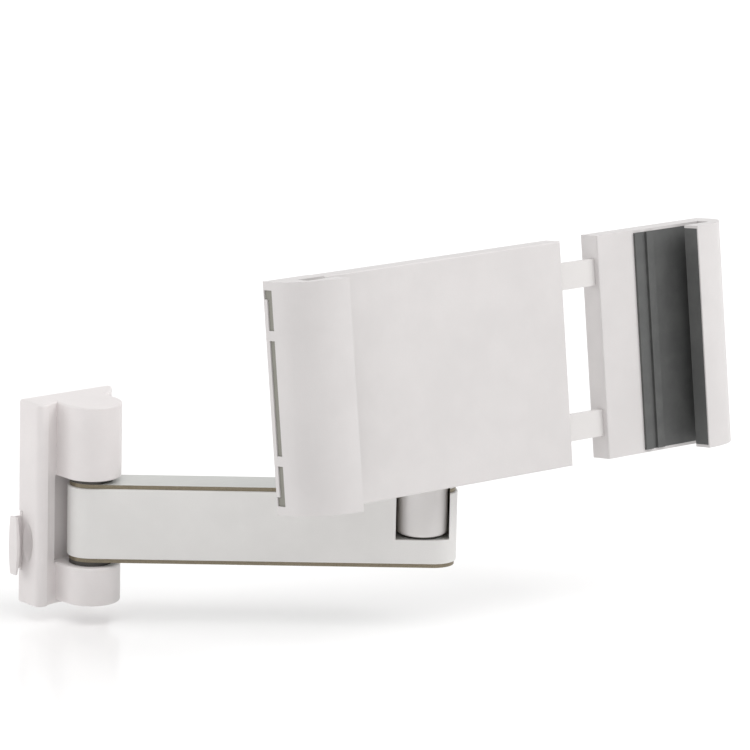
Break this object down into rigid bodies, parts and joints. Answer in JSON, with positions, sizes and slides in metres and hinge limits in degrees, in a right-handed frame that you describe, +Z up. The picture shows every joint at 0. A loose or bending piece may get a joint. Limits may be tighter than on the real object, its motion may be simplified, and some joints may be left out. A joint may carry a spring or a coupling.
{
  "type": "tablet wall mount",
  "caption": "Wall bracket with a swinging arm, a swivel post and tilting head, and a holder whose convex jaw slides on two bars to grip a tablet.",
  "frame": {"origin": "middle of the wall plate's back face, on the wall", "axes": "+X along the wall to the right as seen from the room, +Y into the wall, +Z up"},
  "size_m": [0.2381, 0.1316, 0.1343],
  "materials": {
    "white_shell": "satin moulded plastic",
    "white_metal": "satin powder coat",
    "arm_metal": "satin extrusion",
    "grip_rubber": "matt",
    "bush_plastic": "matt",
    "steel": "zinc plated"
  },
  "bodies": {
    "wall_side": {"wall_plate": "steel", "bracket_housing": "white_shell", "pivot_pin": "steel", "latch_spring": "steel"},
    "release_latch": {"release_tab": "white_shell"},
    "arm": {"arm_core": "arm_metal", "arm_front_cover": "white_shell", "arm_rear_cover": "white_shell", "cover_screws": "steel", "upper_bush": "bush_plastic", "lower_bush": "bush_plastic", "post_washer": "bush_plastic"},
    "post": {"swivel_post": "white_metal", "post_screw": "steel"},
    "tilt_head": {"tilt_fork": "white_metal", "tilt_bolt": "steel", "tilt_nut": "steel", "tilt_washers": "bush_plastic", "friction_ring": "bush_plastic", "rotor_bolt": "steel", "rotor_washer": "steel"},
    "holder": {"rear_housing": "white_shell", "front_plate": "white_shell", "housing_screws": "steel", "left_clamp": "white_shell", "left_pad": "grip_rubber", "jaw_screws": "steel"},
    "sliding_clamp": {"right_clamp": "white_shell", "right_pad": "grip_rubber", "slide_bar_upper": "white_metal", "slide_bar_lower": "white_metal", "bar_screws": "steel", "clamp_back_cover": "white_shell", "back_cover_screws": "steel"}
  },
  "joints": [
    {"name": "arm_swing", "type": "hinge", "parent": "wall_side", "child": "arm", "pos_m": [0, -0.0163, 0], "axis": [0, 0, 1], "range_deg": [-117, 13]},
    {"name": "post_swivel", "type": "hinge", "parent": "arm", "child": "post", "pos_m": [0.09297, -0.08946, 0], "axis": [0, 0, 1], "range_deg": [-90, 90]},
    {"name": "head_tilt", "type": "hinge", "parent": "post", "child": "tilt_head", "pos_m": [0.09297, -0.08946, 0.0512], "axis": [-1, 0, 0], "range_deg": [-8, 37]},
    {"name": "holder_rotate", "type": "hinge", "parent": "tilt_head", "child": "holder", "pos_m": [0.09297, -0.08946, 0.0512], "axis": [0, -0.9912, 0.1323], "range_deg": [0, 90]},
    {"name": "clamp_slide", "type": "slide", "parent": "holder", "child": "sliding_clamp", "axis": [1, 0, 0], "range_m": [-0.017, 0.05]},
    {"name": "latch_press", "type": "slide", "parent": "wall_side", "child": "release_latch", "axis": [1, 0, 0], "range_m": [0, 0.003], "stiffness_N_per_m": 400, "springref_m": -0.001, "deforming": ["latch_spring"]}
  ]
}
